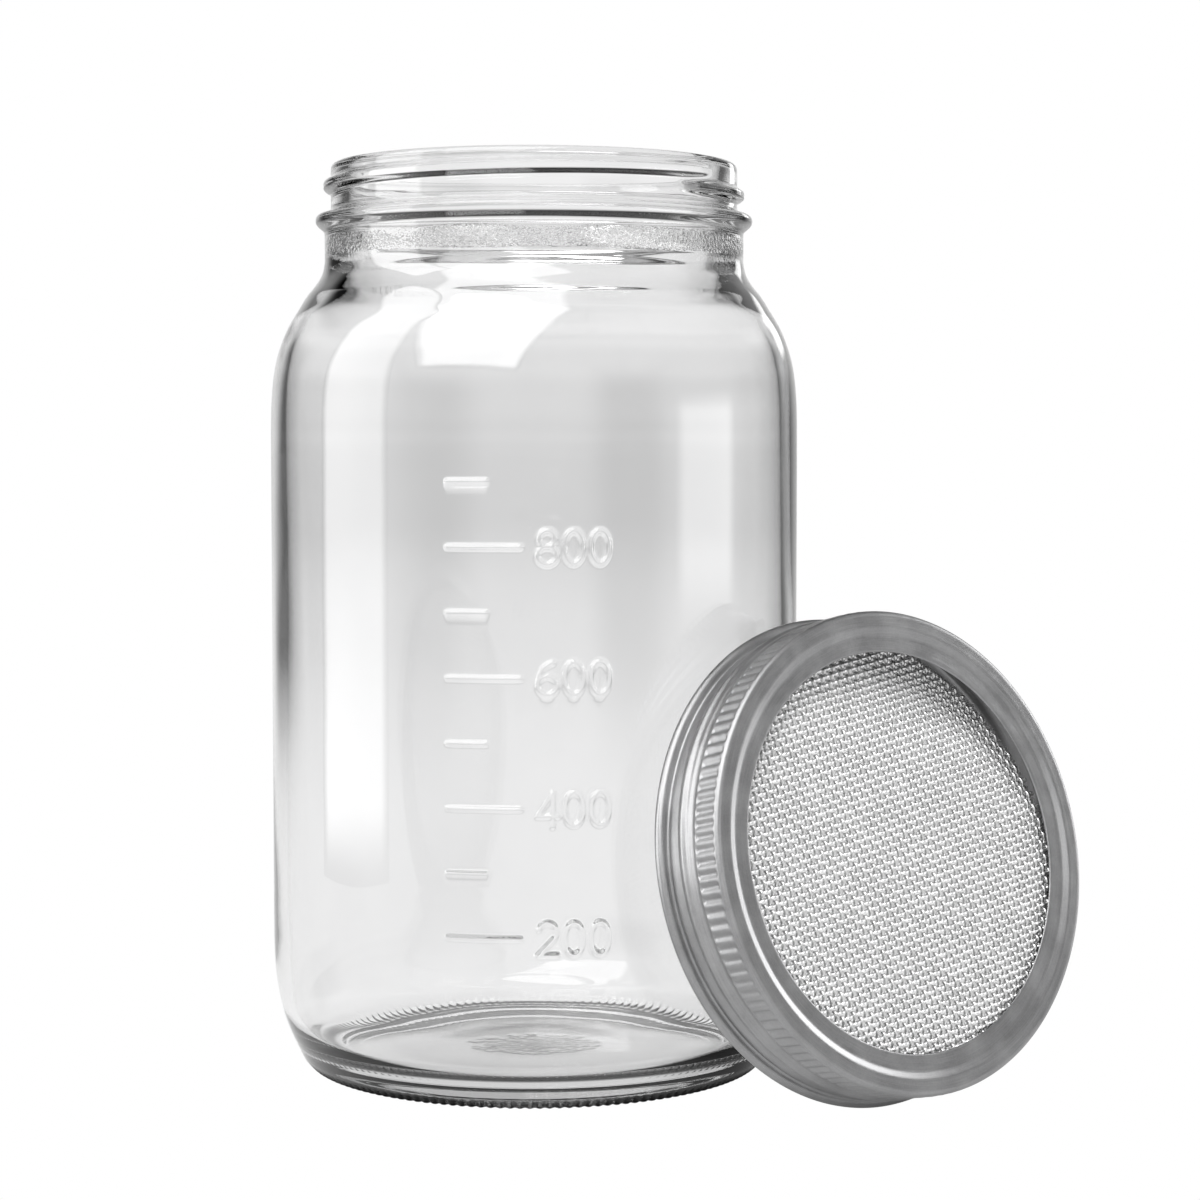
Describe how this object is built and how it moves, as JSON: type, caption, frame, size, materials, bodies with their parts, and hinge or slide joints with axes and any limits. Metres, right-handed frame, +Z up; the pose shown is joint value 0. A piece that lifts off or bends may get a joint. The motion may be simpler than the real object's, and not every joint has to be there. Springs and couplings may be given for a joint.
{
  "type": "sprouting jar",
  "caption": "Wide-mouth glass sprouting jar with its screw lid off: a metal band and a loose woven wire screen lean on the jar; the lid lifts away and the band turns.",
  "frame": {"origin": "middle of the footprint of the jar and the lid that leans on it, on the surface they stand on", "axes": "+Z up along the jar's axis, +X to the right and -Y to the front as pictured"},
  "size_m": [0.1638, 0.1298, 0.1851],
  "materials": {
    "glass": "clear, polished",
    "band_steel": "satin",
    "wire_steel": "bright drawn wire"
  },
  "bodies": {
    "jar": {"glass_jar": "glass"},
    "screen": {"mesh_screen": "wire_steel"},
    "band": {"band_skirt": "band_steel", "band_flange": "band_steel"}
  },
  "joints": [
    {"name": "lid_lift", "type": "slide", "parent": "jar", "child": "screen", "axis": [0, 0, 1], "range_m": [0, 0.19]},
    {"name": "band_turn", "type": "hinge", "parent": "screen", "child": "band", "pos_m": [0.04459, -0.0358, 0.05054], "axis": [0.5892, -0.7735, 0.2334], "continuous": true}
  ]
}
